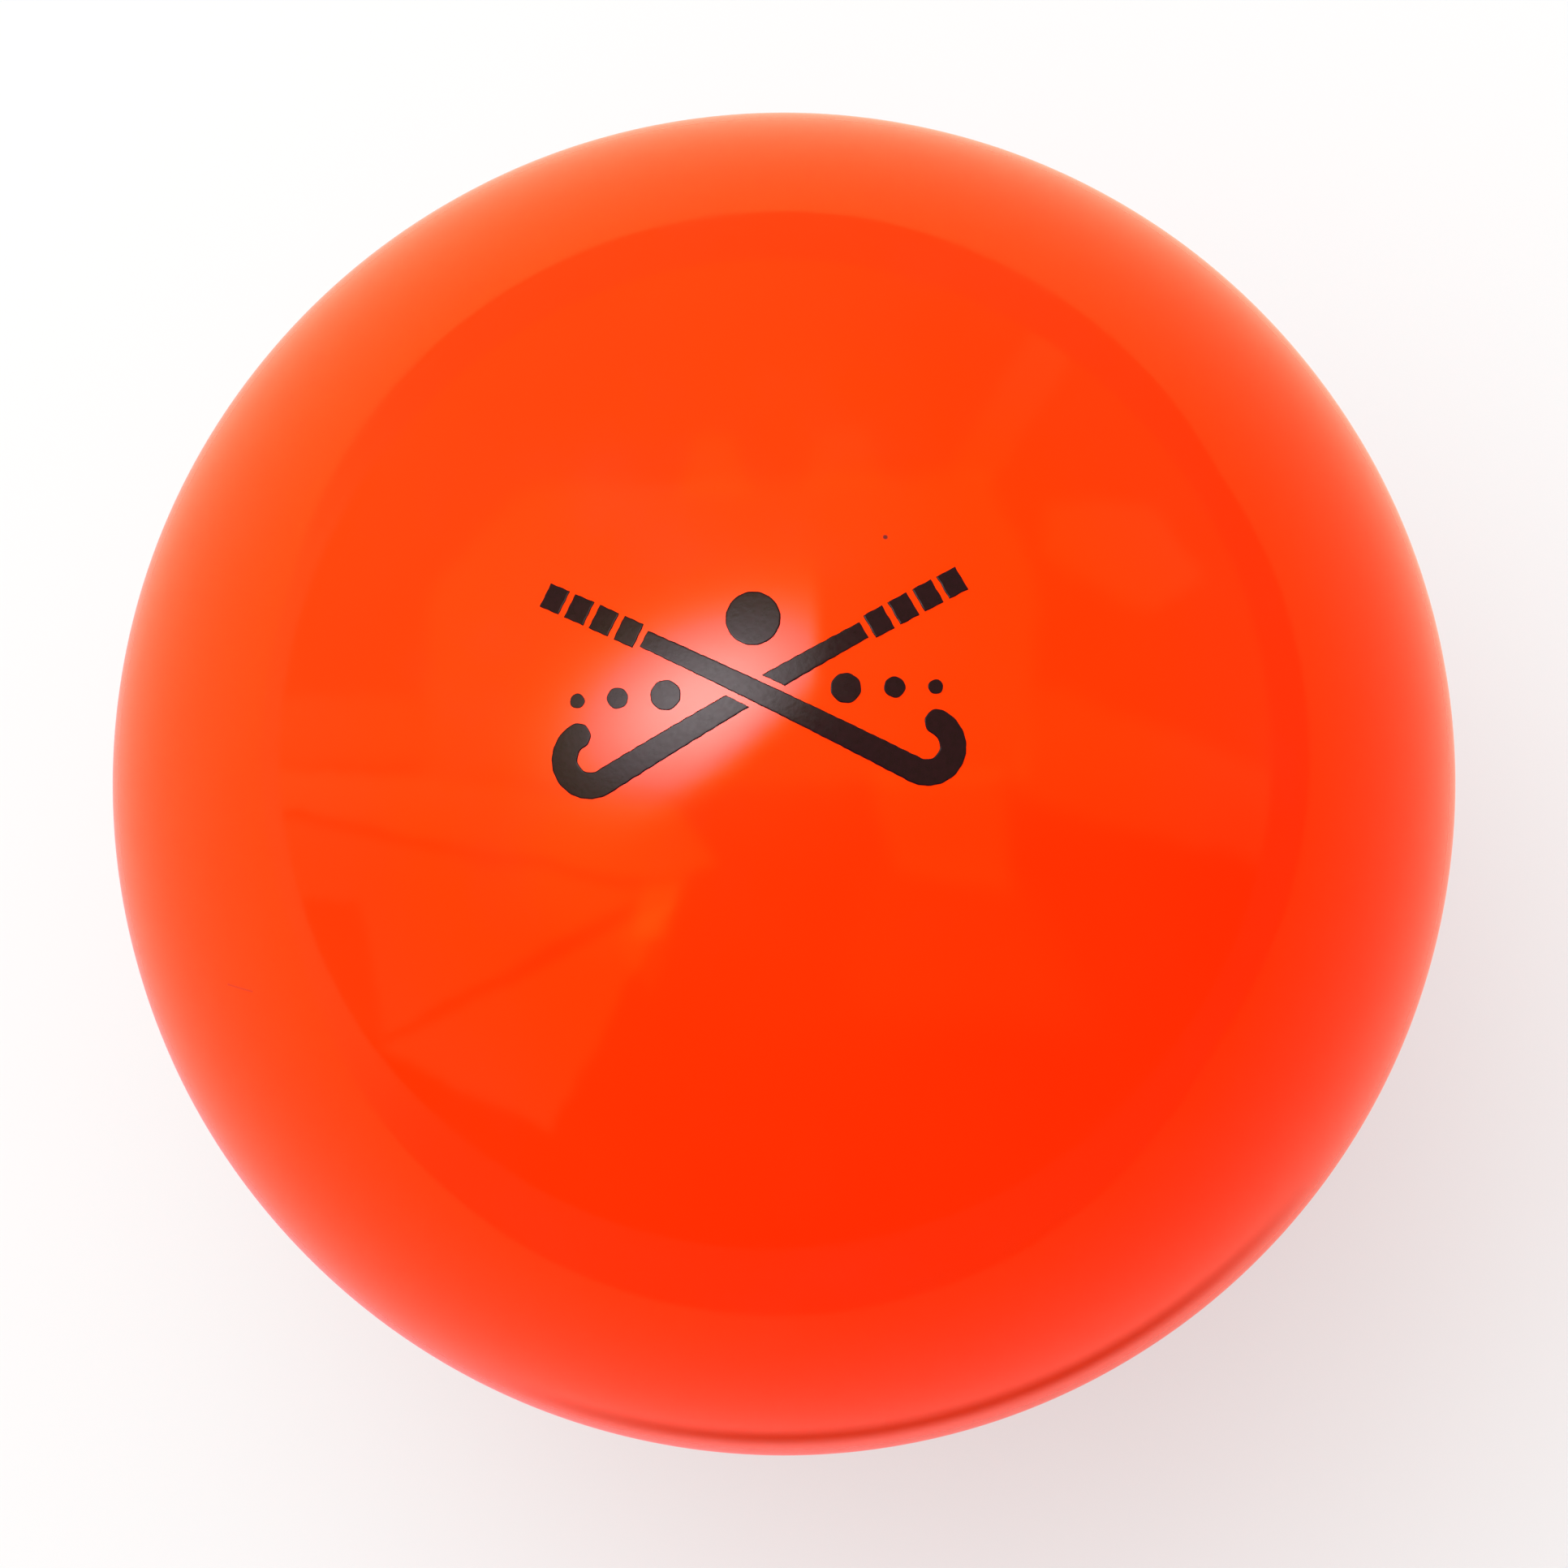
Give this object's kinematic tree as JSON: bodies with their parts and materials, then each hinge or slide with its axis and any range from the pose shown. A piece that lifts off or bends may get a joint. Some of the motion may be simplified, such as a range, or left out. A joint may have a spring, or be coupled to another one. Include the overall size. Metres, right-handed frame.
{
  "type": "field hockey ball",
  "caption": "Smooth, glossy orange ball for field hockey, moulded in one piece, with a black printed mark of crossed sticks on its top.",
  "frame": {"origin": "the ball's centre", "axes": "+Z out through the point where the printed sticks cross, +Y towards the top of the printed mark"},
  "size_m": [0.073, 0.073, 0.073],
  "materials": {
    "ball_plastic": "smooth moulded gloss",
    "black_ink": "printed, semi-gloss"
  },
  "bodies": {
    "root": {"ball": "ball_plastic", "printed_mark": "black_ink"}
  },
  "joints": []
}
